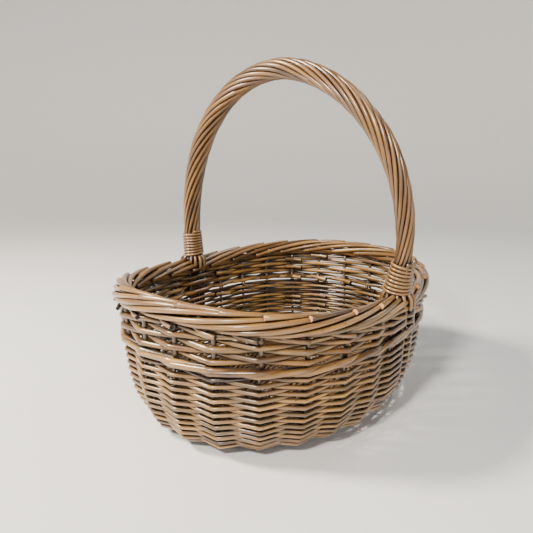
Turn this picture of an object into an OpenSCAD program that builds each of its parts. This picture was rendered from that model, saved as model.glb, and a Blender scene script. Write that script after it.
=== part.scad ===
// Oval willow shopping basket with a fixed roped cross handle.
// X is across the basket, in the plane of the handle. Y is along its length. Z is up.
// The origin is on the ground under the middle of the base.

/* [Border and sides] */
// Half of the width across the basket, to the middle of the border
rim_a = 170; // [150:1:190]
// Half of the length of the basket, to the middle of the border
rim_b = 214; // [190:1:235]
// Squareness of the rim's oval, where 2 is a plain ellipse
rim_square = 2.5; // [2:0.1:3]
// Mean height of the middle of the border
rim_h = 159; // [140:1:180]
// How far the rim rises at the two long ends and dips at the handle
rim_dip = 6.5; // [0:0.5:12]
// Radius of the border's rope-like bundle
border_r = 12.2; // [9:0.1:14]
// Thickness of the woven wall
wall_t = 14; // [12:0.5:18]
// How strongly the wall bellies out above the base
belly = 4.8; // [2:0.1:6]

/* [Base] */
// Half of the width of the wall's foot, to the middle of the wall
base_a = 132; // [110:1:145]
// Half of the length of the wall's foot, to the middle of the wall
base_b = 182; // [160:1:200]
// Thickness of the woven base
base_t = 13; // [11:0.5:16]
// Half of the length of the base's straight middle, before its sticks fan out
spine = 50; // [30:1:70]
// Number of straight short sticks across that middle
short_sticks = 5; // [3:2:7]
// Diameter of a long stick
long_d = 5; // [4:0.5:6]
// Diameter of a short stick, which is split where the long sticks pass
short_d = 8.4; // [7.5:0.1:9]

/* [Stakes] */
// Number of side stakes round the basket, of which two stand among the liner rods
stakes = 26; // [20:2:32]
// Diameter of a side stake
stake_d = 4.6; // [3.5:0.1:4.8]
// Diameter of an upper stake
upper_d = 6; // [4:0.1:6.2]
// Length of each stake's foot inside the base
stake_foot = 30; // [15:1:40]
// Space between the inner and the outer fine weave, where the side stakes stand
slot = 5; // [4.9:0.1:6]
// The same space in the upper bands, where the upper stakes stand
upper_slot = 6.4; // [6.3:0.1:7]

/* [Bands of weaving] */
// Height at which the fine weave begins, above the upsett
upsett_h = 12; // [8:1:16]
// Height of the top of the fine weave
fine_top = 100; // [80:1:110]
// Height of the bottom of the wale above the open gap
wale_bottom = 106; // [90:1:115]
// Height of the top of that wale
wale_top = 120; // [105:1:128]

/* [Handle] */
// Height of the middle of the handle at its crown
handle_h = 428; // [360:1:460]
// How much wider the handle is half way up than at its feet
handle_spread = 0.28; // [0:0.02:0.4]
// Sideways lean of the crown
handle_lean = 9; // [-15:1:15]
// How much higher one shoulder stands than the other
shoulder_lift = 13; // [-15:1:15]
// Radius of the bow inside the handle
bow_r = 7.6; // [6:0.1:7.8]
// Number of rods roped round the bow
rope_rods = 12; // [9:1:12]
// Radius of one roped rod
rope_r = 2.5; // [2:0.1:2.6]
// Length of one full turn of the roping
rope_pitch = 290; // [200:10:400]
// Height of the binding over each foot of the handle
lap_h = 34; // [20:1:44]
// Number of turns of each binding
lap_turns = 8; // [5:1:9]
// Number of liner rods under each foot of the handle
liners = 5; // [3:2:5]
// Height of the lower ends of the liner rods
liner_z = 40; // [25:5:90]
// Radius of the pegs that lock the bow in the border
peg_r = 1.75; // [1:0.05:2.5]

/* [Hidden] */
$fn = 48;
clear = 0.2;                       // clearance between neighbouring pieces
half_t = wall_t / 2;
skin_in = slot / 2;                // inner face of each half of the weave, from the wall's middle
upper_in = upper_slot / 2;
stake_r = stake_d / 2;
upper_r = upper_d / 2;
long_r = long_d / 2;
rope_path_r = bow_r + rope_r + clear;
ring_steps = 2 * stakes;           // facets round a woven band
liner_back = 0.16;                 // middle of the liners, in stake spaces before the foot
foot_x = rim_a - 5;                // the handle's feet stand in the middle of the border
bow_start = rim_h - rim_dip + border_r; // the handle rises from the top of the border

// --- The oval and the wall ---

// A point on an oval with half axes a and b and squareness m, in the direction t
function oval(a, b, m, t) =
    let (reach = pow(pow(abs(cos(t)), m) + pow(abs(sin(t)), m), -1 / m))
    [a * reach * cos(t), b * reach * sin(t)];

// Angle round the oval for a share u of the rim's length, so that the stakes stand evenly
oval_steps = 360;
rim_line = [for (i = [0:oval_steps]) oval(rim_a, rim_b, rim_square, i)];
rim_run = [for (i = 0, run = 0; i <= oval_steps;
    run = run + norm(rim_line[min(i + 1, oval_steps)] - rim_line[i]), i = i + 1) run];
share_to_angle = [for (i = [0:oval_steps]) [rim_run[i] / rim_run[oval_steps], i]];
function angle_at(u) = lookup(u - floor(u), share_to_angle);

// Where the side stakes stand, as shares of the rim's length: two are among the liner rods
liner_pitch = (stake_d + 1) / rim_run[oval_steps];
stake_places = [for (i = [0:stakes - 1]) if (i % (stakes / 2) != stakes / 2 - 1)
    (i + 0.75) / stakes];
liner_places = [for (foot = [0.5, 1]) foot - liner_back / stakes];
liner_stakes = [for (u = liner_places) u + liner_pitch / 2];

// Height of the middle of the border, and of the top of the wall below it
function rim_z(u) = rim_h - rim_dip * cos(2 * angle_at(u));
function wall_top(u) = rim_z(u) - border_r - clear;

// The wall at share u, share s of its height, d outwards from its middle
function flare(s) = 1 - pow(1 - s, belly);
function wall(u, s, d) = concat(
    oval(base_a + (rim_a - base_a) * flare(s) + d, base_b + (rim_b - base_b) * flare(s) + d,
        2 + (rim_square - 2) * s, angle_at(u)),
    s * wall_top(u));
function at_height(u, z, d) = wall(u, z / wall_top(u), d);
function unit(v) = v / norm(v);

// --- Makers ---

// A closed ring from rows of points: rings[i] is the section at step i, all sections alike
module closed_ring(rings) {
    n = len(rings);
    k = len(rings[0]);
    polyhedron([for (ring = rings) each ring],
        [for (i = [0:n - 1], j = [0:k - 1])
            let (i2 = (i + 1) % n, j2 = (j + 1) % k)
            each [[i * k + j, i * k + j2, i2 * k + j2], [i * k + j, i2 * k + j2, i2 * k + j]]]);
}

// A rod along a path, with one side direction for each point
module rod(path, sides, r, k) {
    n = len(path);
    points = [for (i = [0:n - 1])
        let (along = unit(path[min(i + 1, n - 1)] - path[max(i - 1, 0)]),
            up = unit(cross(along, sides[i])),
            across = cross(up, along))
        for (j = [0:k - 1]) path[i] + r * (cos(360 * j / k) * across + sin(360 * j / k) * up)];
    polyhedron(points, concat(
        [[for (j = [0:k - 1]) j]],
        [for (i = [0:n - 2], j = [0:k - 1])
            let (j2 = (j + 1) % k)
            each [[i * k + j, (i + 1) * k + j, (i + 1) * k + j2],
                [i * k + j, (i + 1) * k + j2, i * k + j2]]],
        [[for (j = [k - 1:-1:0]) (n - 1) * k + j]]));
}

// One face of the weave from height z0 to z1, between d0 and d1 off the wall's middle.
// It reaches the top of the wall where z1 is above it.
module woven_face(z0, z1, d0, d1, rows) {
    closed_ring([for (i = [0:ring_steps - 1])
        let (u = i / ring_steps, top = min(z1, wall_top(u)))
        concat(
            [for (j = [0:rows]) at_height(u, z0 + (top - z0) * j / rows, d1)],
            [for (j = [rows:-1:0]) at_height(u, z0 + (top - z0) * j / rows, d0)])]);
}

// An upper band: its outer and its inner face, with the stakes standing between them
module upper_band(z0, z1, proud) {
    woven_face(z0, z1, upper_in, half_t + proud, 1);
    woven_face(z0, z1, -half_t - proud, -upper_in, 1);
}

// --- The base ---

base_in_a = base_a - 6.5;          // edge of the base, inside the upsett
base_in_b = base_b - 6.5;
stick_z = base_t / 2;
stick_gap = stake_foot + 4;        // the sticks end short of the stakes' feet
long_x = long_d + clear;           // the outer long sticks lie this far off the middle one
long_bend = spine + 15;            // where they turn out towards the corners of the base
long_end = 0.45 * (base_in_b - stick_gap - long_bend);
short_bend = 14;                   // where the two end sticks turn towards the corners
short_end = base_in_a - stick_gap - short_bend - 6;
end_y = spine + 9;
slit_w = 3 * long_x + clear;

// A base stick along a line of points: round where it is straight, with 12 sides where it bends
module stick(line, r) {
    step = line[1] - line[0];
    if (len(line) == 2)
        translate(line[0])
            rotate([0, 90, atan2(step[1], step[0])])
                cylinder(h = norm(step), r = r);
    else
        rod(line, [for (p = line) [0, 0, 1]], r, 12);
}

// The lines of the long sticks: the middle one is straight and the outer two fan out
function long_line(side) = side == 0
    ? [[0, -base_in_b + stick_gap, stick_z], [0, base_in_b - stick_gap, stick_z]]
    : [[side * (long_x + long_end), -long_bend - 1.7 * long_end, stick_z],
        [side * long_x, -long_bend, stick_z],
        [side * long_x, long_bend, stick_z],
        [side * (long_x + long_end), long_bend + 1.7 * long_end, stick_z]];

// The lines of the short sticks, from one end of the base to the other
function straight_line(i) =
    let (y = spine * (2 * i / (short_sticks - 1) - 1),
        reach = base_in_a * sqrt(1 - pow(y / base_in_b, 2)) - stick_gap)
    [[-reach, y, stick_z], [reach, y, stick_z]];
function end_line(side) =
    [[-short_bend - 0.7 * short_end, side * (end_y + 0.4 * short_end), stick_z],
        [-short_bend, side * end_y, stick_z],
        [short_bend, side * end_y, stick_z],
        [short_bend + 0.7 * short_end, side * (end_y + 0.4 * short_end), stick_z]];
short_lines = concat([end_line(-1)], [for (i = [0:short_sticks - 1]) straight_line(i)],
    [end_line(1)]);

// Long sticks along the middle of the base
module base_long_sticks() {
    color("#7d5c38")
    for (side = [-1:1])
        stick(long_line(side), long_r);
}

// Short sticks, each split in the middle to take the long sticks
module base_short_sticks() {
    color("#86623d")
    for (line = short_lines)
        difference() {
            stick(line, short_d / 2);
            translate([0, line[1][1], stick_z])
                cube([slit_w, 2 * short_d, long_d + 2 * clear], center = true);
        }
}

// Woven oval of the base, with the channels that the sticks and the stakes' feet fill
module base_weave() {
    color("#8e6a43")
    difference() {
        linear_extrude(base_t)
            polygon([for (i = [0:3:357]) oval(base_in_a, base_in_b, 2, i)]);
        for (line = short_lines)
            stick(line, short_d / 2 + clear);
        for (side = [-1:1])
            stick(long_line(side), long_r + clear);
        for (u = concat(stake_places, liner_stakes))
            stake_channel(u);
    }
}

// Where a stake's foot lies in the base: its inner end, and the point where it leaves the base
function foot_out(u) = concat(oval(base_in_a, base_in_b, 2, angle_at(u)), stick_z);
function foot_dir(u) = let (p = wall(u, 0.1, 0) - foot_out(u)) unit([p[0], p[1], 0]);
function foot_in(u) = foot_out(u) - stake_foot * foot_dir(u);

module stake_channel(u) {
    dir = foot_dir(u);
    start = foot_in(u) - clear * dir;
    translate(start)
        rotate([0, 0, atan2(dir[1], dir[0])])
            rotate([0, 90, 0])
                cylinder(h = stake_foot + 10, r = stake_r + clear);
}

// --- Stakes ---

// A side stake's path from its foot in the base up the middle of the wall to a height
function stake_path(u, top) = concat(
    [foot_in(u), foot_out(u) + 1.5 * foot_dir(u)],
    [for (z = [15, 26, 40, 60, 85, top]) at_height(u, z, 0)]);
function along_rim(u) = unit(let (p = wall(u + 0.005, 1, 0) - wall(u - 0.005, 1, 0)) [p[0], p[1], 0]);

// Side stakes: most end inside the wale, and those among the liners reach the border
module side_stakes() {
    color("#6f5233")
    for (u = concat(stake_places, liner_stakes)) {
        top = len(search(u, liner_stakes)) > 0 ? wall_top(u) : wale_top - 2;
        path = stake_path(u, top);
        rod(path, [for (p = path) along_rim(u)], stake_r, 6);
    }
}

// Thicker stakes beside the side stakes, from the open gap up to the border
module upper_stakes() {
    beside = (stake_r + upper_r + 2 * clear) / rim_run[oval_steps];
    color("#60452a")
    for (place = stake_places) {
        u = place + beside;
        path = [for (k = [0:2])
            at_height(u, fine_top + 1 + (wall_top(u) - fine_top - 1) * k / 2, 0)];
        rod(path, [for (p = path) along_rim(u)], upper_r, 6);
    }
}

// --- Weaving ---

upsett_in = -6.3;                  // inner edge of the upsett, where the base begins
fine_split = 46;                   // between the lower and the upper rounds of fine weave

function foot_ring(u, z, d) = concat(oval(base_a + d, base_b + d, 2, angle_at(u)), z);

// Wale round the bottom edge: one ring outside the stakes, which the basket stands on,
// and one inside them
module upsett_wale() {
    off = skin_in + 0.4;
    color("#8a663f") {
        closed_ring([for (i = [0:ring_steps - 1])
            let (u = i / ring_steps)
            [foot_ring(u, 0, half_t), at_height(u, upsett_h / 2, half_t),
                at_height(u, upsett_h, half_t), at_height(u, upsett_h, off),
                foot_ring(u, 0.8, upsett_in), foot_ring(u, 0, upsett_in)]]);
        closed_ring([for (i = [0:ring_steps - 1])
            let (u = i / ring_steps)
            [at_height(u, upsett_h + 2, -off), at_height(u, upsett_h + 2, -half_t),
                foot_ring(u, base_t, upsett_in),
                foot_ring(u, stick_z + stake_r + 1, upsett_in)]]);
    }
}

// Fine rods woven over one stake and under the next, in a lower and an upper set of rounds
module fine_siding() {
    low = upsett_h + clear;
    color("#a07a4e") {
        woven_face(low, fine_split, skin_in, half_t, 4);
        woven_face(low + 2, fine_split, -half_t, -skin_in, 4);
        woven_face(fine_split + clear, fine_top, skin_in, half_t, 2);
        woven_face(fine_split + clear, fine_top, -half_t, -skin_in, 2);
    }
}

// Wale above the open gap
module middle_wale() {
    color("#94703f") upper_band(wale_bottom, wale_top - clear, 1);
}

// Heavy rods woven from the wale up to the border
module heavy_siding() {
    color("#a8835a") upper_band(wale_top, rim_h, 0);
}

// Border of rods laid round the rim, with a hole at each side for the handle's foot
module border() {
    sides = 10;
    color("#b08a5c")
    difference() {
        closed_ring([for (i = [0:ring_steps - 1])
            let (u = i / ring_steps)
            [for (j = [0:sides - 1])
                let (turn = 360 * (j + 0.5) / sides)
                concat(
                    oval(rim_a + border_r * cos(turn), rim_b + border_r * cos(turn),
                        rim_square, angle_at(u)),
                    rim_z(u) + border_r * sin(turn))]]);
        for (side = [-1, 1])
            translate([side * foot_x, 0, rim_h - rim_dip]) {
                cylinder(h = 4 * border_r, r = bow_r + clear, center = true);
                rotate([0, 90, 0]) cylinder(h = 4 * border_r, r = peg_r + 0.05, center = true);
            }
    }
}

// --- Handle ---

rise = handle_h - bow_start;
arch_steps = 44;
roundness = 1.06;                  // 1 is a plain ellipse

// Middle of the handle, for a turn of 0 at the left foot to 180 at the right foot
function arch(turn) =
    let (up = pow(sin(turn), roundness),
        side = sign(cos(turn)) * pow(abs(cos(turn)), roundness))
    [-foot_x * side * (1 + handle_spread * sin(turn)) + handle_lean * up,
        0,
        bow_start + rise * up + shoulder_lift * sin(2 * turn)];

function arch_along(turn) = unit(arch(min(turn + 1, 180)) - arch(max(turn - 1, 0)));
function arch_out(turn) = let (p = arch_along(turn)) [-p[2], 0, p[0]];

// The bow: a thick willow rod, straight through the border at each foot
module handle_bow() {
    path = concat(
        [[-foot_x, 0, bow_start - 2 * border_r]],
        [for (i = [0:arch_steps]) arch(180 * i / arch_steps)],
        [[foot_x, 0, bow_start - 2 * border_r]]);
    color("#6a4c2d")
    difference() {
        rod(path, [for (p = path) [0, 1, 0]], bow_r, 10);
        for (side = [-1, 1])
            translate([side * foot_x, 0, rim_h - rim_dip])
                rotate([0, 90, 0])
                    cylinder(h = 4 * border_r, r = peg_r + 0.05, center = true);
    }
}

// Length along the arch, so that the roping keeps an even pitch
arch_line = [for (i = [0:arch_steps]) arch(180 * i / arch_steps)];
arch_run = [for (i = 0, run = 0; i <= arch_steps;
    run = run + norm(arch_line[min(i + 1, arch_steps)] - arch_line[i]), i = i + 1) run];

// Rods wound side by side round the bow from foot to foot
module handle_roping() {
    color("#9c774c")
    for (k = [0:rope_rods - 1]) {
        winds = [for (i = [0:arch_steps]) 360 * k / rope_rods - 360 * arch_run[i] / rope_pitch];
        sides = [for (i = [0:arch_steps])
            cos(winds[i]) * arch_out(180 * i / arch_steps) + sin(winds[i]) * [0, 1, 0]];
        path = [for (i = [0:arch_steps]) arch_line[i] + rope_path_r * sides[i]];
        rod([for (i = [1:arch_steps - 1]) path[i]], [for (i = [1:arch_steps - 1]) sides[i]],
            rope_r, 5);
    }
}

// Binding of split willow over a foot of the handle: a turn of 0 to 90 is on the left leg
lap_mid = asin(pow((lap_h / 2 + 4.5) / rise, 1 / roundness));

module lap(turn) {
    turn_h = lap_h / lap_turns;
    inner = rope_path_r + rope_r + clear;
    up = sign(90 - turn) * arch_along(turn);
    color("#b38f63")
    translate(arch(turn))
        rotate([0, atan2(up[0], up[2]), 0])
            rotate_extrude()
                union() {
                    translate([inner, -lap_h / 2]) square([1, lap_h]);
                    for (i = [0:lap_turns - 1])
                        translate([inner + 0.9, turn_h * (i + 0.5) - lap_h / 2])
                            circle(d = turn_h, $fn = 24);
                }
}

module left_lap() {
    lap(lap_mid);
}

module right_lap() {
    lap(180 - lap_mid);
}

// Rods that run down through the weave under a foot of the handle, beside a side stake
module foot_liners(middle) {
    color("#5f4529")
    for (k = [-liners / 2:liners / 2])
        if (k != 0.5) {
            u = middle + k * liner_pitch;
            path = [for (j = [0:4]) at_height(u, liner_z + (wall_top(u) - liner_z) * j / 4, 0)];
            rod(path, [for (p = path) along_rim(u)], stake_r, 6);
        }
}

module left_liners() {
    foot_liners(liner_places[0]);
}

module right_liners() {
    foot_liners(liner_places[1]);
}

// Pegs that lock the bow's feet in the border
module bow_pegs() {
    color("#c7a578")
    for (side = [-1, 1])
        translate([side * foot_x, 0, rim_h - rim_dip])
            rotate([0, 90, 0])
                cylinder(h = 2 * border_r, r = peg_r, center = true);
}

base_long_sticks();
base_short_sticks();
base_weave();
side_stakes();
upsett_wale();
fine_siding();
middle_wale();
upper_stakes();
heavy_siding();
border();
bow_pegs();
left_liners();
right_liners();
handle_bow();
handle_roping();
left_lap();
right_lap();
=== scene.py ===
# An oval willow shopping basket: a stick-and-strand base, stakes, woven bands, a rod border and a
# roped cross handle. Every rod is swept along its own path, and lengths are in metres.
import math
import random

import bmesh
import bpy
from mathutils import Matrix, Vector


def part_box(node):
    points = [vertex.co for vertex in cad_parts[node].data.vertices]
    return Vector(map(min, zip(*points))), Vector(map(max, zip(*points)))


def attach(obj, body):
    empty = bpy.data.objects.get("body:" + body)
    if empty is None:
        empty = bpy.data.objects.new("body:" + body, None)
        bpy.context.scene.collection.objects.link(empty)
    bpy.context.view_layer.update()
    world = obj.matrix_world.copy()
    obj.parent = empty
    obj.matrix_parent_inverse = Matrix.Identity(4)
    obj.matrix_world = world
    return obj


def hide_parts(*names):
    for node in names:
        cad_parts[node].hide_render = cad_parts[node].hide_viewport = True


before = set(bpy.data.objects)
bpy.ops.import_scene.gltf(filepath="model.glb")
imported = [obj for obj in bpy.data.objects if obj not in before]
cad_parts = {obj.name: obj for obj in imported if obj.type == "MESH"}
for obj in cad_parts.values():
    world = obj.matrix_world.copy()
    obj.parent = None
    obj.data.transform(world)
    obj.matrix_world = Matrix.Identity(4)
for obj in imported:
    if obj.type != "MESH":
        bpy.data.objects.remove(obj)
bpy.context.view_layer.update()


# --- Camera -------------------------------------------------------------------------------
# Looks at the basket from a little above its rim, across the near left quarter.

MM = 0.001
camera_azimuth = math.radians(36.47)
camera_elevation = math.radians(12.51)
camera_roll = math.radians(0.22)
camera_distance = 704 * MM
camera_target = Vector((-25.2, 0, 170.4)) * MM
back = Vector((
    math.sin(camera_azimuth) * math.cos(camera_elevation),
    -math.cos(camera_azimuth) * math.cos(camera_elevation),
    math.sin(camera_elevation)))
camera_data = bpy.data.cameras.new("camera")
camera_data.lens = 34.0
camera_data.sensor_width = 36
camera = bpy.data.objects.new("camera", camera_data)
camera.location = camera_target + back * camera_distance
camera.rotation_euler = (
    back.to_track_quat("Z", "Y") @ Matrix.Rotation(camera_roll, 3, "Z").to_quaternion()
).to_euler()
bpy.context.collection.objects.link(camera)
bpy.context.scene.camera = camera


# --- Studio -------------------------------------------------------------------------------
# A pale matt floor, a soft light high on the left, a small one in front, a weak fill and a sky.

def linear(hex_colour):
    """An sRGB hex colour as linear RGBA."""
    parts = [int(hex_colour[i:i + 2], 16) / 255 for i in (1, 3, 5)]
    return [c / 12.92 if c <= 0.04045 else ((c + 0.055) / 1.055) ** 2.4 for c in parts] + [1]


def add(tree, kind, links=None, **settings):
    """Adds a node; settings name its properties or, with a number or name, its inputs."""
    node = tree.nodes.new(kind)
    for key, value in settings.items():
        if hasattr(node, key):
            setattr(node, key, value)
        else:
            node.inputs[key.replace("_", " ")].default_value = value
    for socket, source in (links or {}).items():
        tree.links.new(source, node.inputs[socket])
    return node


def new_material(name):
    """An empty node material and its tree."""
    material = bpy.data.materials.new(name)
    material.use_nodes = True
    material.node_tree.nodes.clear()
    return material, material.node_tree


def soft_light(name, place, size, power, colour):
    """A round soft box that faces the basket."""
    data = bpy.data.lights.new(name, "AREA")
    data.shape = "DISK"
    data.size = size
    data.energy = power
    data.color = linear(colour)[:3]
    light = bpy.data.objects.new(name, data)
    light.location = place
    light.rotation_euler = (Vector(place) - camera_target).to_track_quat("Z", "Y").to_euler()
    bpy.context.collection.objects.link(light)


soft_light("key", (-1.05, -1.0, 1.4), 0.34, 74, "#fff3e4")
soft_light("front", (0.25, -1.35, 1.25), 0.2, 36, "#fff8f0")
soft_light("fill", (1.4, -0.9, 0.8), 0.5, 4, "#e8efff")
soft_light("back", (0.4, 1.4, 1.6), 0.6, 10, "#ffffff")

world = bpy.data.worlds.new("studio")
world.use_nodes = True
world.node_tree.nodes["Background"].inputs["Color"].default_value = linear("#eef1f4")
world.node_tree.nodes["Background"].inputs["Strength"].default_value = 0.16
bpy.context.scene.world = world

# the floor runs up into a round wall, so no edge shows from any side
floor_material, tree = new_material("matt_floor")
shader = add(tree, "ShaderNodeBsdfPrincipled", Base_Color=linear("#ececea"), Roughness=0.9)
add(tree, "ShaderNodeOutputMaterial", {"Surface": shader.outputs[0]})
floor_bm = bmesh.new()
bmesh.ops.create_circle(floor_bm, cap_ends=True, segments=64, radius=1.9)
rim = [e for e in floor_bm.edges if e.is_boundary]
radius = 1.9
for reach, height in ((2.2, 0.03), (2.45, 0.13), (2.65, 0.3), (2.75, 0.5), (2.8, 0.8), (2.8, 1.5)):
    made = bmesh.ops.extrude_edge_only(floor_bm, edges=rim)["geom"]
    ring = [g for g in made if isinstance(g, bmesh.types.BMVert)]
    new = set(ring)
    rim = [g for g in made if isinstance(g, bmesh.types.BMEdge)
           and g.verts[0] in new and g.verts[1] in new]
    bmesh.ops.scale(floor_bm, vec=(reach / radius, reach / radius, 1), verts=ring)
    bmesh.ops.translate(floor_bm, vec=(0, 0, height - ring[0].co.z), verts=ring)
    radius = reach
bmesh.ops.recalc_face_normals(floor_bm, faces=floor_bm.faces)
bmesh.ops.reverse_faces(floor_bm, faces=floor_bm.faces)
floor_mesh = bpy.data.meshes.new("floor")
for face in floor_bm.faces:
    face.smooth = len(face.verts) == 4
floor_bm.to_mesh(floor_mesh)
floor_mesh.materials.append(floor_material)
floor = bpy.data.objects.new("floor", floor_mesh)
bpy.context.collection.objects.link(floor)


# --- Base sticks --------------------------------------------------------------------------
# Seven short willow sticks, split and threaded on three long ones under the middle of the base.
# The outer ones bend out into a fan at each end, so that twenty spokes reach the edge.

base_a = 132 * MM
base_b = 182 * MM
base_edge = 6.5 * MM
# height of the middle of the sticks over the ground
stick_z = 6.5 * MM
# half the length along which the sticks lie side by side
spine = 50 * MM
stick_r = 2.5 * MM
long_x = 5.2 * MM
edge_a = base_a - base_edge
edge_b = base_b - base_edge


def spoke_point(k, share):
    """A point on spoke k, at a share of the way from the base's spine to its edge. The spokes go
    round from +X: five straight ones, a fan of five, and the same again."""
    half, place = divmod(k % 20, 10)
    if place < 5:
        centre = Vector((0, (place - 2) * spine / 2, 0))
        way = Vector((1, 0, 0))
    else:
        fan = math.radians(30 * (place - 4))
        centre = Vector((0, spine, 0))
        way = Vector((math.cos(fan), math.sin(fan), 0))
    # the distance to the edge's ellipse along the spoke
    a = (way.x / edge_a) ** 2 + (way.y / edge_b) ** 2
    b = 2 * centre.y * way.y / edge_b ** 2
    c = (centre.y / edge_b) ** 2 - 1
    far = (-b + math.sqrt(b * b - 4 * a * c)) / (2 * a)
    point = centre + way * far * share
    return -point if half else point


def smooth(points, steps):
    """A smooth run through a few points, with steps stretches between each two."""
    ends = [2 * points[0] - points[1]] + points + [2 * points[-1] - points[-2]]
    run = []
    for i in range(1, len(ends) - 2):
        a, b, c, d = ends[i - 1:i + 3]
        for j in range(steps):
            t = j / steps
            run.append(0.5 * (2 * b + (c - a) * t + (2 * a - 5 * b + 4 * c - d) * t * t
                              + (3 * b - a - 3 * c + d) * t ** 3))
    return run + [points[-1]]


def add_rod(piece, rng, path, radii, sides=8, cut=(0, 0)):
    """Sweeps a circle along a path as one rod of the piece and gives it its own grain and tone.
    radii is the radius at the butt and at the tip, or one for each point, and cut gives the
    material of the two end faces."""
    if len(radii) != len(path):
        radii = [radii[0] + (radii[1] - radii[0]) * i / (len(path) - 1) for i in range(len(path))]
    along = [(path[min(i + 1, len(path) - 1)] - path[max(i - 1, 0)]).normalized()
             for i in range(len(path))]
    rod = bmesh.new()
    grain = rod.verts.layers.float_vector.new("grain")
    tone = rod.verts.layers.float.new("tone")
    start = rng.random() * 10
    rod_tone = rng.random()
    ring = bmesh.ops.create_circle(rod, segments=sides, radius=radii[0])["verts"]
    for v in ring:
        v[grain] = (v.co.x, v.co.y, start)
        v[tone] = rod_tone
    place = Matrix.Translation(path[0]) @ along[0].to_track_quat("Z", "Y").to_matrix().to_4x4()
    bmesh.ops.transform(rod, matrix=place, verts=ring)
    first = list(rod.edges)
    edges = first
    run = start
    for i in range(len(path) - 1):
        made = bmesh.ops.extrude_edge_only(rod, edges=edges)["geom"]
        ring = [g for g in made if isinstance(g, bmesh.types.BMVert)]
        new = set(ring)
        edges = [g for g in made if isinstance(g, bmesh.types.BMEdge)
                 and g.verts[0] in new and g.verts[1] in new]
        turn = along[i].rotation_difference(along[i + 1]).to_matrix().to_4x4()
        step = (Matrix.Translation(path[i + 1]) @ Matrix.Scale(radii[i + 1] / radii[i], 4)
                @ turn @ Matrix.Translation(-path[i]))
        bmesh.ops.transform(rod, matrix=step, verts=ring)
        run += (path[i + 1] - path[i]).length
        for v in ring:
            v[grain] = (v[grain].x, v[grain].y, run)
    for loop, kind in ((first, cut[0]), (edges, cut[1])):
        face = bmesh.ops.contextual_create(rod, geom=loop)["faces"][0]
        face.material_index = kind
    bmesh.ops.recalc_face_normals(rod, faces=rod.faces)
    mesh = bpy.data.meshes.new("rod")
    rod.to_mesh(mesh)
    rod.free()
    piece.from_mesh(mesh)
    bpy.data.meshes.remove(mesh)


def new_piece():
    """An empty piece, ready for rods."""
    piece = bmesh.new()
    piece.verts.layers.float_vector.new("grain")
    piece.verts.layers.float.new("tone")
    return piece


def place_piece(name, piece, materials, slot, *nodes):
    """Makes the piece an object that rides on the basket and stands for its CAD nodes."""
    for face in piece.faces:
        face.smooth = len(face.verts) == 4
    mesh = bpy.data.meshes.new(name)
    piece.to_mesh(mesh)
    piece.free()
    for material in materials:
        mesh.materials.append(material)
    thing = bpy.data.objects.new(name, mesh)
    bpy.context.collection.objects.link(thing)
    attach(thing, "root")
    if nodes:
        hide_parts(*nodes)


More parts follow.
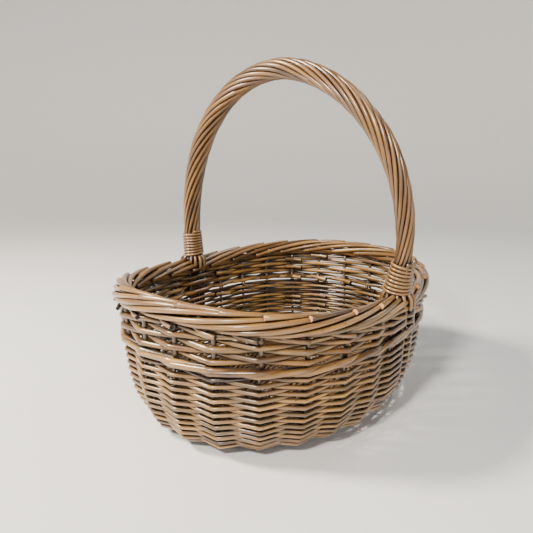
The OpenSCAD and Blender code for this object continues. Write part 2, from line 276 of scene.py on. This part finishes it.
def willow(name, shades, roughness=0.3, gloss=0.75):
    """Stained and varnished willow: each rod has its own shade, with long fibres, slow patches of
    colour, small dark bud scars, painted shade in the hollows between rods and a satin skin that
    lights up where it bends."""
    material, tree = new_material(name)
    grain = add(tree, "ShaderNodeAttribute", attribute_name="grain").outputs["Vector"]
    tone = add(tree, "ShaderNodeAttribute", attribute_name="tone").outputs["Fac"]
    # fibres 1 mm apart, drawn out along the rod
    fibre_place = add(tree, "ShaderNodeMapping", {"Vector": grain}, Scale=(900, 900, 18))
    fibre = add(tree, "ShaderNodeTexNoise", {"Vector": fibre_place.outputs[0]},
                Scale=1.0, Detail=4.0, Roughness=0.6).outputs["Fac"]
    # patches some 30 mm long
    patch_place = add(tree, "ShaderNodeMapping", {"Vector": grain}, Scale=(120, 120, 30))
    patch = add(tree, "ShaderNodeTexNoise", {"Vector": patch_place.outputs[0]},
                Scale=1.0, Detail=2.0).outputs["Fac"]
    # a bud scar 2 mm across every 30 mm or so
    bud = add(tree, "ShaderNodeTexVoronoi", {"Vector": grain}, Scale=110.0).outputs["Distance"]
    scar = add(tree, "ShaderNodeMapRange", {0: bud}, From_Min=0.06, From_Max=0.13,
               To_Min=0.75, To_Max=0.0).outputs[0]
    shift = add(tree, "ShaderNodeMath", {0: patch, 2: tone}, operation="MULTIPLY_ADD")
    shift.inputs[1].default_value = 0.6
    centred = add(tree, "ShaderNodeMath", {0: shift.outputs[0]}, operation="SUBTRACT")
    centred.inputs[1].default_value = 0.3
    ramp = add(tree, "ShaderNodeValToRGB", {0: centred.outputs[0]})
    stops = ramp.color_ramp.elements
    while len(stops) < len(shades):
        stops.new(0.5)
    for i, shade in enumerate(shades):
        stops[i].position = i / (len(shades) - 1)
        stops[i].color = linear(shade)
    streak = add(tree, "ShaderNodeMapRange", {0: fibre}, From_Min=0.3, From_Max=0.75,
                 To_Min=0.6, To_Max=1.2).outputs[0]
    streaked = add(tree, "ShaderNodeVectorMath", {0: ramp.outputs[0], "Scale": streak},
                   operation="SCALE")
    scarred = add(tree, "ShaderNodeMix", {0: scar, 6: streaked.outputs[0]}, data_type="RGBA")
    scarred.inputs[7].default_value = linear("#24160c")
    # painted shade, partly pooled stain: the few-millimetre hollows between rods, found by ambient
    # occlusion, are darkened towards a near-black brown, partly as stain and partly as painted shade
    hollow = add(tree, "ShaderNodeAmbientOcclusion", samples=6, Distance=0.009)
    painted_hollow_shade = add(tree, "ShaderNodeMapRange", {0: hollow.outputs["AO"]}, From_Min=0.4, From_Max=0.92,
               To_Min=0.0, To_Max=1.0).outputs[0]
    stain_and_painted_shade = add(tree, "ShaderNodeMix", {0: painted_hollow_shade, 7: scarred.outputs[2]}, data_type="RGBA")
    # the near-black brown of the painted shade and the pooled stain in the hollows
    stain_and_painted_shade.inputs[6].default_value = linear("#1e1409")
    rough = add(tree, "ShaderNodeMapRange", {0: fibre}, To_Min=roughness - 0.08,
                To_Max=roughness + 0.14).outputs[0]
    skin = add(tree, "ShaderNodeMath", {0: fibre, 1: patch}, operation="ADD").outputs[0]
    bump = add(tree, "ShaderNodeBump", {"Height": skin}, Strength=0.4, Distance=0.0004)
    shader = add(tree, "ShaderNodeBsdfPrincipled",
                 {"Base Color": stain_and_painted_shade.outputs[2], "Roughness": rough,
                  "Normal": bump.outputs[0]},
                 Coat_Weight=gloss, Coat_Roughness=0.2, IOR=1.5)
    add(tree, "ShaderNodeOutputMaterial", {"Surface": shader.outputs[0]})
    return material


def cut_wood(name, heart, edge):
    """The face of a cut rod: a soft pith with a darker rim."""
    material, tree = new_material(name)
    grain = add(tree, "ShaderNodeAttribute", attribute_name="grain").outputs["Vector"]
    across = add(tree, "ShaderNodeMapping", {"Vector": grain}, Scale=(1, 1, 0))
    away = add(tree, "ShaderNodeVectorMath", {0: across.outputs[0]}, operation="LENGTH")
    ring = add(tree, "ShaderNodeMapRange", {0: away.outputs["Value"]}, From_Max=0.0035).outputs[0]
    fleck = add(tree, "ShaderNodeTexNoise", {"Vector": grain}, Scale=2500.0).outputs["Fac"]
    blend = add(tree, "ShaderNodeMath", {0: ring, 1: fleck}, operation="MULTIPLY").outputs[0]
    colour = add(tree, "ShaderNodeMix", {0: blend}, data_type="RGBA")
    colour.inputs[6].default_value = linear(heart)
    colour.inputs[7].default_value = linear(edge)
    shader = add(tree, "ShaderNodeBsdfPrincipled", {"Base Color": colour.outputs[2]}, Roughness=0.75)
    add(tree, "ShaderNodeOutputMaterial", {"Surface": shader.outputs[0]})
    return material


dark_cut = cut_wood("dark_cut_willow", "#15110e", "#2a2019")
stake_willow = willow("stained_willow_stakes", ["#4a3521", "#65492c", "#7a5a38", "#83623f"])

rng = random.Random(105)
piece = new_piece()
for k in range(20):
    ends = [spoke_point(k, t) + Vector((0, 0, stick_z)) for t in (0.06, 0.3, 0.6, 0.97)]
    add_rod(piece, rng, smooth(ends, 3), (stick_r * 1.05, stick_r * 0.9), cut=(1, 1))
for side in (-1, 0, 1):
    ends = [Vector((side * long_x, y * spine, stick_z)) for y in (-1.3, 0, 1.3)]
    add_rod(piece, rng, smooth(ends, 3), (stick_r, stick_r), cut=(1, 1))
place_piece("base_stick_rods", piece, [stake_willow, dark_cut], "base_sticks",
            "base_long_sticks", "base_short_sticks")


# --- Base weave ---------------------------------------------------------------------------
# Fine willow rods woven over and under the spokes, round after round out to the edge. They hold
# the sticks apart and grip the feet of the stakes that are pushed in beside them.

base_willow = willow("base_willow", ["#4d3825", "#6a4e31", "#80603a", "#765842"], 0.42, 0.3)
base_r = 1.9 * MM
base_rounds = 33
rng = random.Random(111)
piece = new_piece()
for row in range(base_rounds):
    share = 0.075 + 0.915 * row / (base_rounds - 1)
    path = []
    for k in range(21):
        here = spoke_point(k, share)
        there = spoke_point(k + 1, share)
        side = 1 if (k + row) % 2 else -1
        for t in (0, 0.15, 0.35, 0.5, 0.65, 0.85):
            point = here.lerp(there, t)
            point.z = stick_z + side * (1 - 2 * t) * (stick_r + base_r * 0.6)
            path.append(point)
            if k == 20:
                break
    add_rod(piece, rng, path, (base_r, base_r * 0.98), 6)
place_piece("base_weave_rods", piece, [base_willow], "base_weave", "base_weave")


# --- Side stakes --------------------------------------------------------------------------
# Twenty-six willow rods of nearly 5 mm. Each one's foot is pushed into the edge of the base,
# it is kinked upright there, and it carries the fine weave up to the wale.

STAKES = 26
border_high = Vector(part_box("border")[1])
border_r = 12.2 * MM
rim_a = border_high.x - border_r
rim_b = border_high.y - border_r
rim_h = 159 * MM
# how far the rim rises at the ends and dips at the feet of the handle
rim_dip = 6.5 * MM
rim_square = 2.5
belly = 4.8
stake_r = 2.3 * MM
stake_top = 113 * MM
turn_up_z = 15 * MM


def oval(a, b, square, turn):
    """A point on an oval with half axes a and b, in the direction of an angle."""
    c, s = math.cos(turn), math.sin(turn)
    reach = (abs(c) ** square + abs(s) ** square) ** (-1 / square)
    return Vector((a * reach * c, b * reach * s, 0))


ANGLE_STEPS = 720
rim_run = [0.0]
for i in range(ANGLE_STEPS):
    here = oval(rim_a, rim_b, rim_square, math.tau * i / ANGLE_STEPS)
    there = oval(rim_a, rim_b, rim_square, math.tau * (i + 1) / ANGLE_STEPS)
    rim_run.append(rim_run[-1] + (there - here).length)
rim_length = rim_run[-1]


def angle_at(u):
    """The angle at a share u of the rim's length."""
    run = (u % 1.0) * rim_length
    low, high = 0, ANGLE_STEPS
    while high - low > 1:
        middle = (low + high) // 2
        low, high = (middle, high) if rim_run[middle] <= run else (low, middle)
    part = (run - rim_run[low]) / (rim_run[low + 1] - rim_run[low])
    return math.tau * (low + part) / ANGLE_STEPS


def rim_z(u):
    """Height of the middle of the border."""
    return rim_h - rim_dip * math.cos(2 * angle_at(u))


def wall_point(u, z):
    """The middle of the wall at share u of the rim and height z."""
    turn = angle_at(u)
    top = rim_h - rim_dip * math.cos(2 * turn) - border_r
    s = max(z / top, 0)
    flare = 1 - abs(1 - s) ** belly if s < 1 else 1
    point = oval(base_a + (rim_a - base_a) * flare, base_b + (rim_b - base_b) * flare,
                 2 + (rim_square - 2) * min(s, 1), turn)
    point.z = z
    return point


def wall(u, z, out=0.0, up=0.0):
    """A point off the wall's middle: out along its normal and up along its slope."""
    here = wall_point(u, z)
    slope = (wall_point(u, z + 1 * MM) - here).normalized()
    level = (wall_point(u + 0.002, z) - wall_point(u - 0.002, z)).normalized()
    normal = level.cross(slope).normalized()
    return here + normal * out + slope * up


liner_back = 0.16
liner_pitch = 5.6 * MM / rim_length


def among_liners(i):
    """True for the stake that stands in a bundle of liners, under a foot of the handle."""
    return i % 13 == 12


def stake_at(i):
    """The share of the rim where stake i stands."""
    if among_liners(i):
        return (i + 1 - liner_back) / STAKES + liner_pitch / 2
    return (i + 0.75) / STAKES


rng = random.Random(11)
piece = new_piece()
for i in range(STAKES):
    u = stake_at(i)
    edge = oval(edge_a, edge_b, 2, angle_at(u))
    edge.z = stick_z
    outward = wall(u, turn_up_z) - edge
    outward.z = 0
    outward.normalize()
    points = [edge - outward * 30 * MM, edge - outward * 10 * MM, edge + outward * 1.5 * MM]
    points += [wall(u, z) for z in (turn_up_z, 30 * MM, 50 * MM, 75 * MM, 100 * MM)]
    points.append(wall(u, rim_z(u) if among_liners(i) else stake_top, 0.8 * MM))
    add_rod(piece, rng, smooth(points, 3), (stake_r * 1.06, stake_r * 0.96))
place_piece("side_stake_rods", piece, [stake_willow], "stakes", "side_stakes")


# --- Upsett -------------------------------------------------------------------------------
# The first rounds of fine willow rods, woven over one stake and under the next from the base's
# edge. They set the stakes upright and make the edge that the basket stands on.

fine_r = 2.3 * MM
upsett_rounds = 6
bundle_half = 2.5 * liner_pitch + stake_r / rim_length


def weave(piece, rng, level, side, stakes, radius, reach, sag, soft, wide=True, surface=wall):
    """One rod woven past the stakes from the first to the last of two numbers. level gives its
    height at a share of the rim, and side how far out and up it lies at a stake, from -1 to 1.
    soft is how far it bows between the stakes, from 0, straight, to 1, following the wall, wide
    tells that it meets whole liner bundles, and surface gives a point off what it is woven on."""
    knots = []
    for i in range(stakes[0], stakes[1] + 1):
        out, up = side(i)
        out = out * reach + rng.gauss(0, 0.22 * MM)
        up = up * sag + rng.gauss(0, 0.22 * MM)
        here = stake_at(i)
        if wide and among_liners(i):
            here -= liner_pitch / 2
            knots += [(here - bundle_half, out, up), (here + bundle_half, out, up)]
        else:
            knots.append((here, out, up))
    u, out, up = knots[0]
    knots.insert(0, (u - 0.32 / STAKES, out - 1.1 * radius, up - 0.4 * radius))
    u, out, up = knots[-1]
    knots.append((u + 0.32 / STAKES, out - 0.4 * radius, up + 0.4 * radius))
    path = []
    for (u0, out0, up0), (u1, out1, up1) in zip(knots, knots[1:]):
        start, end = surface(u0, level(u0), out0, up0), surface(u1, level(u1), out1, up1)
        for t in (0, 0.1, 0.3, 0.5, 0.7, 0.9):
            bend = t + 0.3 * (0.5 - 0.5 * math.cos(math.pi * t) - t)
            u = u0 + (u1 - u0) * t
            bowed = surface(u, level(u), out0 + (out1 - out0) * bend, up0 + (up1 - up0) * bend)
            path.append(start.lerp(end, t).lerp(bowed, soft))
    path.append(end)
    thick = radius * rng.uniform(0.92, 1.08)
    add_rod(piece, rng, path, (thick * 1.06, thick * 0.94), cut=(1, 1))


def weave_round(piece, rng, level, row, radius, reach, sag, soft, wide=True, surface=wall):
    """A whole round, over one stake and under the next, of two or three rods joined inside."""
    start = 2 * rng.randrange(13) + (row + 1) % 2
    for span in rng.choice(((8, 8, 10), (12, 14), (10, 16), (8, 10, 8), (10, 8, 8))):
        weave(piece, rng, level, lambda i: (1, -1) if (i + row) % 2 == 0 else (-1, 1),
              (start, start + span), radius, reach, sag, soft, wide, surface)
        start += span


def turn_up(u, share, out=0.0, up=0.0):
    """A point off the slope where the stakes leave the base and turn up into the wall."""
    edge = oval(edge_a, edge_b, 2, angle_at(u))
    edge.z = stick_z
    top = wall(u, turn_up_z)
    slope = (top - edge).normalized()
    flat = Vector((slope.x, slope.y, 0))
    normal = flat.normalized() * slope.z - Vector((0, 0, flat.length))
    return edge.lerp(top, share) + normal * out + slope * up


BUFF = ["#3a2411", "#704c22", "#a37634", "#84603c", "#bb8c46", "#69502a", "#9a723c"]
fine_willow = willow("fine_stained_willow", BUFF)
rng = random.Random(31)
piece = new_piece()
for k in range(upsett_rounds):
    weave_round(piece, rng, lambda u: 0.07 + 0.16 * k, k, fine_r * 0.95,
                stake_r + fine_r * 0.75, 0, 0.5, False, turn_up)
place_piece("upsett_rods", piece, [fine_willow, dark_cut], "fine_rods", "upsett_wale")


# --- Fine siding --------------------------------------------------------------------------
# Thin willow rods of 4.6 mm woven over one stake and under the next, each round packed down on
# the one below. Rods are joined butt to tip behind a stake, so cut ends show only inside.

fine_foot = 16.5 * MM
fine_top = 105.2 * MM
fine_pitch = 4.1 * MM
fine_sag = 0.6 * MM


def even_rows(low, high, pitch):
    """Heights of rows that lie about a pitch apart along the slope of the wall."""
    steps = [low + (high - low) * i / 200 for i in range(201)]
    run = [0.0]
    for a, b in zip(steps, steps[1:]):
        run.append(run[-1] + (wall_point(0.19, b) - wall_point(0.19, a)).length)
    count = round(run[-1] / pitch)
    return [min(steps, key=lambda z: abs(run[steps.index(z)] - run[-1] * k / count))
            for k in range(count + 1)]


rows = even_rows(fine_foot, fine_top - fine_r, fine_pitch)
rng = random.Random(21)
piece = new_piece()
for k, z in enumerate(rows):
    weave_round(piece, rng, lambda u: z, k, fine_r, stake_r + fine_r * 0.9, fine_sag, 0.25,
                z > 40 * MM)
place_piece("fine_siding_rods", piece, [fine_willow, dark_cut], "fine_rods", "fine_siding")


# --- Upper stakes -------------------------------------------------------------------------
# Thicker willow rods pushed into the wale on the inside of the side stakes. Their dark butts end
# in the open gap, and their tops are turned down into the border.

upper_r = 2.9 * MM
beside = 2.2 * MM / rim_length
rng = random.Random(41)
piece = new_piece()
for i in range(STAKES):
    if among_liners(i):
        continue
    u = stake_at(i) + beside
    lean = rng.uniform(-0.8, 0.8) / rim_length * MM
    foot = rng.uniform(102.5, 105) * MM
    points = [wall(u - lean, foot, -7.2 * MM), wall(u - lean, foot + 7 * MM, -3.4 * MM),
              wall(u, foot + 18 * MM, -0.6 * MM), wall(u, rim_z(u) - 8 * MM)]
    add_rod(piece, rng, smooth(points, 3), (upper_r * 1.05, upper_r * 0.95), cut=(1, 1))
place_piece("upper_stake_rods", piece, [stake_willow, dark_cut], "stakes", "upper_stakes")


# --- Middle wale --------------------------------------------------------------------------
# Three heavy willow rods worked together, each in front of two stakes and behind one. They lie
# above the open gap and grip the upper stakes between them and the side stakes.

wale_mid = 112.6 * MM
wale_sag = 2.4 * MM
heavy_r = 3.35 * MM
heavy_willow = willow("heavy_stained_willow", BUFF)

rng = random.Random(51)
piece = new_piece()
for k in range(3):
    first = 6 + k
    for span in (12, 15):
        weave(piece, rng, lambda u: wale_mid,
              lambda i: ((-1, -0.7), (1, -0.9), (1, 0.7))[(i - 6 - k) % 3],
              (first, first + span), heavy_r, upper_r + heavy_r * 0.85, wale_sag, 0.4)
        first += span
place_piece("middle_wale_rods", piece, [heavy_willow, dark_cut], "heavy_rods", "middle_wale")


# --- Heavy siding -------------------------------------------------------------------------
# Five rounds of willow rods of 6.7 mm, woven over one stake and under the next and packed down
# between the wale and the border.

heavy_foot = 118.6 * MM
heavy_rounds = 5
heavy_sag = 0.35 * MM
rng = random.Random(61)
piece = new_piece()
for k in range(heavy_rounds):
    # the rounds share the height that the rim leaves, up to 11 mm under its middle
    weave_round(piece, rng,
                lambda u: heavy_foot + (rim_z(u) - 11 * MM - heavy_foot) * (k + 0.5) / heavy_rounds,
                k, heavy_r, upper_r + heavy_r * 0.5, heavy_sag, 0.3)
place_piece("heavy_siding_rods", piece, [heavy_willow, dark_cut], "heavy_rods", "heavy_siding")


# --- Border -------------------------------------------------------------------------------
# Heavy rods laid round the rim like a flat rope. They rise round the outside from stake to stake
# and cross over the top to the inside. Pale cut butts show on top, dark cut tips underneath.

border_rod_r = 3.2 * MM
pale_cut = cut_wood("pale_cut_willow", "#d9a066", "#c08a55")
border_willow = willow("border_willow", ["#52381b", "#7a562a", "#a07436", "#896440", "#b38543",
                                         "#76592e"], 0.3, 0.75)
foot_x = rim_a - 5 * MM
# turns in degrees from outside, and runs in stake spacings, of the rods that rise and cross over
rise_from, rise_to, rise_run = -98, 112, 4.6
cross_from, cross_to, cross_run = 66, 208, 3.4


def border_point(u, turn, reach):
    """A point round the border's middle: a turn of 0 is outside, a quarter turn is on top."""
    foot_gap = min(abs(u % 0.5), 0.5 - abs(u % 0.5)) * rim_length
    swell = 4.5 * MM * math.exp(-(foot_gap / (17 * MM)) ** 2)
    out = (reach + swell) * math.cos(turn)
    point = oval(rim_a + out, rim_b + out, rim_square, angle_at(u))
    point.z = rim_z(u) + reach * math.sin(turn)
    return point


rng = random.Random(71)
piece = new_piece()
# the rods that rise round the outside, from under the weave's edge to the top
for i in range(STAKES):
    start = (i + 0.2 + rng.uniform(-0.1, 0.1)) / STAKES
    thick = border_rod_r * rng.uniform(0.9, 1.06)
    lift = rng.uniform(-0.5, 0.5) * MM
    first_turn = rise_from + rng.uniform(-4, 4)
    last_turn = rise_to + rng.uniform(-5, 5)
    path = []
    for j in range(33):
        t = j / 32
        turn = math.radians(first_turn + (last_turn - first_turn) * t)
        reach = border_r - border_rod_r + lift - 2.0 * MM * (1 - t) ** 3 - 2.2 * MM * t ** 5
        path.append(border_point(start + rise_run * t / STAKES, turn, reach))
    add_rod(piece, rng, path, (thick, thick * 0.96), 10, cut=(2, 2))
# the rods that cross over them to the inside; their pale butts lie on top
for i in range(STAKES):
    start = (i + 0.88 + rng.uniform(-0.1, 0.1)) / STAKES
    thick = border_rod_r * rng.uniform(0.94, 1.08)
    first_turn = cross_from + rng.uniform(-8, 5)
    path = []
    for j in range(27):
        t = j / 26
        turn = math.radians(first_turn + (cross_to - first_turn) * (0.9 * t + 0.1 * t * t))
        reach = border_r - border_rod_r + 0.7 * MM + 1.9 * MM * (1 - t) ** 3 - 0.6 * MM * t
        path.append(border_point(start + cross_run * t / STAKES, turn, reach))
    add_rod(piece, rng, path, (thick * 1.04, thick * 0.94), 10, cut=(1, 2))
# the turned-down tops of the upper stakes, from the weave up into the bundle
for i in range(STAKES):
    u = stake_at(i) + beside
    path = [border_point(u + t * 2.4 / STAKES, math.radians(-90 - 75 * t), 9.2 * MM - 3.4 * MM * t)
            for t in (0, 0.12, 0.25, 0.4, 0.55, 0.7, 0.85, 1)]
    add_rod(piece, rng, path, (upper_r, upper_r * 0.9), 8, cut=(2, 2))
# the tips that come out under the border
for i in range(STAKES):
    start = (i + 0.05 + rng.uniform(-0.12, 0.12)) / STAKES
    points = [border_point(start + run / STAKES, math.radians(turn), reach * MM)
              for run, turn, reach in ((0, -125, 7.5), (0.25, -92, 10), (0.5, -66, 13.2),
                                       (0.72 + rng.uniform(0, 0.1), -54, 15.8))]
    add_rod(piece, rng, smooth(points, 3), (2.8 * MM, 2.5 * MM), 8, cut=(2, 2))
place_piece("border_rods", piece, [border_willow, pale_cut, dark_cut], "border_rods", "border")


# --- Handle bow ---------------------------------------------------------------------------
# One thick willow rod bent to an arch. Its ends go down through the border, where a peg of
# peeled willow locks each.

peg_r = 1.75 * MM
peg_tip_r = 1.7 * MM
handle_h = 428 * MM
handle_spread = 0.28
handle_lean = 9 * MM
shoulder_lift = 13 * MM
roundness = 1.06
bow_start = rim_h - rim_dip + border_r
rise = handle_h - bow_start


def arch(turn):
    """The middle of the handle, from the left foot at 0 to the right foot at pi."""
    up = abs(math.sin(turn)) ** roundness
    side = math.copysign(abs(math.cos(turn)) ** roundness, math.cos(turn))
    x = -foot_x * side * (1 + handle_spread * math.sin(turn)) + handle_lean * up
    return Vector((x, 0, bow_start + rise * up + shoulder_lift * math.sin(2 * turn)))


def arch_frame(turn):
    """The handle's middle there, its direction and the direction away from the arch's inside."""
    along = (arch(min(turn + 0.01, math.pi)) - arch(max(turn - 0.01, 0))).normalized()
    return arch(turn), along, Vector((-along.z, 0, along.x))


ARCH_STEPS = 120
turns = [math.pi * i / ARCH_STEPS for i in range(ARCH_STEPS + 1)]
arch_run = [0.0]
for a, b in zip(turns, turns[1:]):
    arch_run.append(arch_run[-1] + (arch(b) - arch(a)).length)
# shares of the handle's length and its radius there in mm: it is slimmest at the right foot
THICK_AT = ((0, 12.4), (0.05, 12.8), (0.25, 14.6), (0.5, 13.4), (0.72, 13.2), (0.86, 11.6),
            (0.94, 9.9), (1, 9.9))


def handle_r(share):
    """The roped handle's radius at a share of its length."""
    for (s0, r0), (s1, r1) in zip(THICK_AT, THICK_AT[1:]):
        if share <= s1:
            t = (share - s0) / (s1 - s0)
            return (r0 + (r1 - r0) * (0.5 - 0.5 * math.cos(math.pi * t))) * MM


rng = random.Random(76)
piece = new_piece()
path = [Vector((-foot_x, 0, bow_start - 2 * border_r))]
path += [arch(t) for t in turns] + [Vector((foot_x, 0, bow_start - 2 * border_r))]
radii = [handle_r(run / arch_run[-1]) * 0.6 for run in arch_run]
add_rod(piece, rng, path, [radii[0]] + radii + [radii[-1]], 12)
bow_willow = willow("bow_willow", ["#2a1c11", "#352417", "#3d2a1b"], 0.6, 0.0)
place_piece("handle_bow_rod", piece, [bow_willow], "bow", "handle_bow")

piece = new_piece()
for side in (-1, 1):
    middle = Vector((side * foot_x, 0, rim_h - rim_dip))
    ends = [middle + Vector((x * border_r, 0, 0)) for x in (-1, 0, 1)]
    add_rod(piece, rng, ends, (peg_r, peg_tip_r), cut=(1, 1))
peg_willow = willow("peeled_peg_willow", ["#6b5233", "#86683f", "#9b7c50"], 0.5, 0.2)
place_piece("bow_peg_rods", piece, [peg_willow, dark_cut], "pegs", "bow_pegs")


# --- Roping -------------------------------------------------------------------------------
# Twelve willow rods laid side by side round the bow in a long twist from foot to foot. The laps
# bind their ends, and they follow the bow's thickness, slimmest at the right foot.

ROPE_RODS = 12
rope_pitch = 290 * MM
rope_share = math.sin(math.pi / ROPE_RODS)
handle_willow = willow("roping_willow", ["#402a15", "#644422", "#865e2e", "#734f34", "#986d36",
                                         "#684b29"], 0.3, 0.75)
rng = random.Random(81)
piece = new_piece()
for k in range(ROPE_RODS):
    path = []
    radii = []
    wander = rng.uniform(-0.06, 0.06)
    thick = rng.uniform(0.94, 1.04)
    for turn, run in zip(turns, arch_run):
        middle, along, out = arch_frame(turn)
        share = run / arch_run[-1]
        if not 0.012 < share < 0.988:
            continue
        wind = math.tau * (k / ROPE_RODS - run / rope_pitch) + wander * math.sin(9 * share + k)
        reach = handle_r(share) / (1 + rope_share)
        path.append(middle + reach * (math.cos(wind) * out + math.sin(wind) * Vector((0, 1, 0))))
        radii.append(reach * rope_share * thick)
    add_rod(piece, rng, path, radii, 8)
place_piece("roping_rods", piece, [handle_willow], "roping_rods", "handle_roping")


# --- Laps ---------------------------------------------------------------------------------
# Thin split willow wound tightly over each foot of the handle to bind the ends of the roping.
# Below it the roping's cut-off ends spread over the border.

lap_h = 34 * MM
lap_turns = 8
spread_ends = 14
lap_willow = willow("split_willow", ["#6a4b29", "#856035", "#9a7240", "#7e5b34"], 0.3, 0.8)
lap_mid = math.asin(((lap_h / 2 + 4.5 * MM) / rise) ** (1 / roundness))

for name, turn, low_r, high_r in (("left_lap", lap_mid, 13.9, 13.1),
                                  ("right_lap", math.pi - lap_mid, 15.2, 11.4)):
    rng = random.Random(91)
    piece = new_piece()
    middle, along, out = arch_frame(turn)
    if along.z < 0:
        along = -along
        out = -out
    sideways = Vector((0, 1, 0))
    strand_r = lap_h / lap_turns / 2
    steps = 20 * (lap_turns + 1)
    path = []
    for j in range(steps + 1):
        t = j / steps
        wind = math.tau * (lap_turns + 0.6) * t
        sag = -2.2 * MM * (1 - t) * math.cos(wind + 1.0)
        reach = (low_r + (high_r - low_r) * t + rng.uniform(-0.15, 0.15)) * MM
        path.append(middle + along * ((t - 0.5) * (lap_h + strand_r) + sag)
                    + reach * (math.cos(wind) * out + math.sin(wind) * sideways))
    add_rod(piece, rng, path, (strand_r, strand_r * 0.95), 8)
    # the spread ends of the roping
    low = middle - along * lap_h / 2
    for k in range(spread_ends):
        a = math.tau * (k + 0.5) / spread_ends
        way = math.cos(a) * Vector((1, 0, 0)) + math.sin(a) * sideways
        over = 1.0 if (way.x > 0) == (low.x > 0) else 0.35
        drop = 8 + 12 * abs(math.cos(a))
        reach = 11.5 + (3 + 5 * over) * abs(math.cos(a))
        points = [low + along * 7 * MM + way * (low_r - 5) * MM,
                  low + way * (low_r - 3) * MM,
                  low + way * reach * MM - Vector((0, 0, 5 * MM)),
                  low + way * (reach + 1.5) * MM - Vector((0, 0, drop * 0.7 * MM)),
                  low + way * (reach + 0.5) * MM - Vector((0, 0, drop * MM))]
        add_rod(piece, rng, smooth(points, 4), (2.4 * MM, 2.2 * MM), 8, cut=(1, 1))
    place_piece(name + "_binding", piece, [lap_willow, dark_cut], "lapping", name)


# --- Liners -------------------------------------------------------------------------------
# Rods beside each foot of the bow that run down through the weave and tie the handle in. The
# ends of three of them stick up outside the right lap.

for name, foot, seed in (("left_liners", 12, 101), ("right_liners", 25, 102)):
    rng = random.Random(seed)
    piece = new_piece()
    # the side stake stands in the bundle at place 0
    for k in (-3, -2, -1, 1, 2):
        u = stake_at(foot) + k * liner_pitch
        points = [wall(u, z * MM) for z in (40, 60, 80, 100, 125)]
        points.append(wall(u, rim_z(u) - 6 * MM))
        add_rod(piece, rng, smooth(points, 2), (2.5 * MM, 2.9 * MM), cut=(1, 1))
    if name == "right_liners":
        middle, along, out = arch_frame(math.pi - lap_mid)
        for a, high, reach in ((-0.2, 27, 12.6), (0.25, 24, 12.2), (-0.75, 21, 11.6)):
            way = math.cos(a) * out + math.sin(a) * Vector((0, 1, 0))
            points = [middle + way * (reach + 1) * MM + along * 10 * MM,
                      middle + way * reach * MM - along * 8 * MM,
                      middle + way * (reach + 1.2) * MM - along * high * MM]
            add_rod(piece, rng, smooth(points, 3), (2.2 * MM, 1.9 * MM), cut=(1, 1))
    place_piece(name + "_rods", piece, [stake_willow, dark_cut], "stakes", name)
